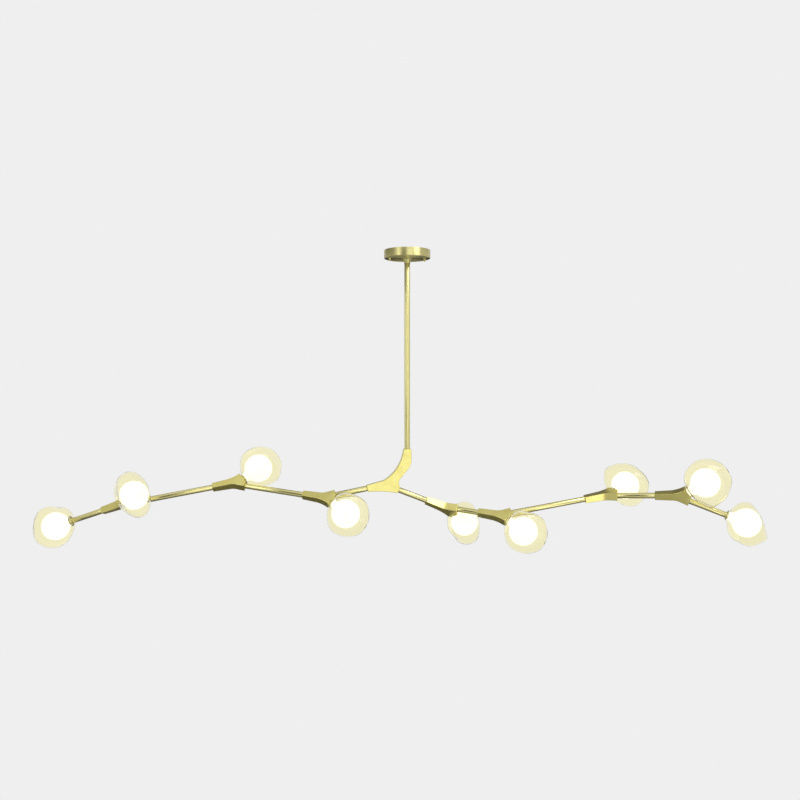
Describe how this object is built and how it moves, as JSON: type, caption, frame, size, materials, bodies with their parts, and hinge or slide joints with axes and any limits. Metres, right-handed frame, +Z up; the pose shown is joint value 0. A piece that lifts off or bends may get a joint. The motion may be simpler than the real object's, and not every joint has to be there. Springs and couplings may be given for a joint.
{
  "type": "branch chandelier",
  "caption": "Ceiling chandelier: round canopy and stem, and a branching arm of brass tubes and flat forked castings, each holding an opal globe inside a flattened blown-glass envelope.",
  "frame": {"origin": "middle of the two ceiling screws, on the ceiling plane", "axes": "+Z up, out of the ceiling screws; +X along the arms, towards the five-globe side; +Y square to the flat centre casting, away from the viewer"},
  "size_m": [2.0498, 0.4987, 0.8592],
  "materials": {
    "satin_brass": "brushed satin, lacquered, pale champagne brass",
    "zinc_steel": "zinc plated",
    "white_moulding": "moulded",
    "lamp_white": "unglazed white holder with a frosted capsule lamp",
    "opal_glass": "opal, satin etched, lit",
    "champagne_glass": "clear, pale champagne tint, mouth blown with soft dents"
  },
  "bodies": {
    "ceiling": {"ceiling_strap": "zinc_steel", "strap_studs": "zinc_steel", "hollow_nipple": "zinc_steel", "nipple_locknuts": "zinc_steel", "nipple_end_nut": "zinc_steel", "terminal_block": "white_moulding", "earth_screw": "satin_brass"},
    "canopy": {"canopy_cover": "satin_brass", "canopy_collar": "satin_brass", "canopy_dome_nuts": "satin_brass"},
    "stem": {"stem_coupling": "satin_brass", "stem_tube": "satin_brass", "centre_casting": "satin_brass", "centre_grub_screws": "zinc_steel"},
    "left_1": {"left_1_tube": "satin_brass", "left_1_fork": "satin_brass", "left_1_lamp": "lamp_white", "left_1_opal": "opal_glass", "left_1_glass": "champagne_glass"},
    "left_2": {"left_2_tube": "satin_brass", "left_2_fork": "satin_brass", "left_2_lamp": "lamp_white", "left_2_opal": "opal_glass", "left_2_glass": "champagne_glass"},
    "left_3": {"left_3_tube": "satin_brass", "left_3_fork": "satin_brass", "left_3_lamp": "lamp_white", "left_3_opal": "opal_glass", "left_3_glass": "champagne_glass"},
    "left_4": {"left_4_tube": "satin_brass", "left_4_end_socket": "satin_brass", "left_4_lamp": "lamp_white", "left_4_opal": "opal_glass", "left_4_glass": "champagne_glass"},
    "right_1": {"right_1_tube": "satin_brass", "right_1_fork": "satin_brass", "right_1_lamp": "lamp_white", "right_1_opal": "opal_glass", "right_1_glass": "champagne_glass"},
    "right_2": {"right_2_tube": "satin_brass", "right_2_fork": "satin_brass", "right_2_lamp": "lamp_white", "right_2_opal": "opal_glass", "right_2_glass": "champagne_glass"},
    "right_3": {"right_3_tube": "satin_brass", "right_3_fork": "satin_brass", "right_3_lamp": "lamp_white", "right_3_opal": "opal_glass", "right_3_glass": "champagne_glass"},
    "right_4": {"right_4_tube": "satin_brass", "right_4_fork": "satin_brass", "right_4_lamp": "lamp_white", "right_4_opal": "opal_glass", "right_4_glass": "champagne_glass"},
    "right_5": {"right_5_tube": "satin_brass", "right_5_end_socket": "satin_brass", "right_5_lamp": "lamp_white", "right_5_opal": "opal_glass", "right_5_glass": "champagne_glass"}
  },
  "joints": [
    {"name": "canopy_slide", "type": "slide", "parent": "ceiling", "child": "canopy", "axis": [0, 0, -1], "range_m": [0, 0.5]},
    {"name": "stem_swivel", "type": "hinge", "parent": "ceiling", "child": "stem", "pos_m": [0, 0, -0.019], "axis": [0, 0, 1], "range_deg": [-180, 180]},
    {"name": "left_1_roll", "type": "hinge", "parent": "stem", "child": "left_1", "pos_m": [-0.116, 0, -0.681], "axis": [-0.9816, 0, -0.1908], "range_deg": [-90, 90]},
    {"name": "left_2_roll", "type": "hinge", "parent": "left_1", "child": "left_2", "pos_m": [-0.29731, 0.01736, -0.69856], "axis": [-0.9414, 0.31, 0.1328], "range_deg": [-90, 90]},
    {"name": "left_3_roll", "type": "hinge", "parent": "left_2", "child": "left_3", "pos_m": [-0.55295, 0.08263, -0.68019], "axis": [-0.9841, -0.0135, -0.177], "range_deg": [-90, 90]},
    {"name": "left_4_roll", "type": "hinge", "parent": "left_3", "child": "left_4", "pos_m": [-0.86112, 0.10147, -0.74408], "axis": [-0.8636, 0.4001, -0.3066], "range_deg": [-90, 90]},
    {"name": "right_1_roll", "type": "hinge", "parent": "stem", "child": "right_1", "pos_m": [-0.025, 0, -0.686], "axis": [0.9304, 0, -0.3665], "range_deg": [-90, 90]},
    {"name": "right_2_roll", "type": "hinge", "parent": "right_1", "child": "right_2", "pos_m": [0.14378, -0.01519, -0.74306], "axis": [0.9166, -0.3796, -0.1255], "range_deg": [-90, 90]},
    {"name": "right_3_roll", "type": "hinge", "parent": "right_2", "child": "right_3", "pos_m": [0.28946, -0.0612, -0.75072], "axis": [0.9838, -0.0494, 0.1725], "range_deg": [-90, 90]},
    {"name": "right_4_roll", "type": "hinge", "parent": "right_3", "child": "right_4", "pos_m": [0.59338, -0.09333, -0.70217], "axis": [0.8839, -0.4663, 0.0361], "range_deg": [-90, 90]},
    {"name": "right_5_roll", "type": "hinge", "parent": "right_4", "child": "right_5", "pos_m": [0.76991, -0.17745, -0.71075], "axis": [0.8998, -0.2496, -0.3579], "range_deg": [-90, 90]}
  ]
}
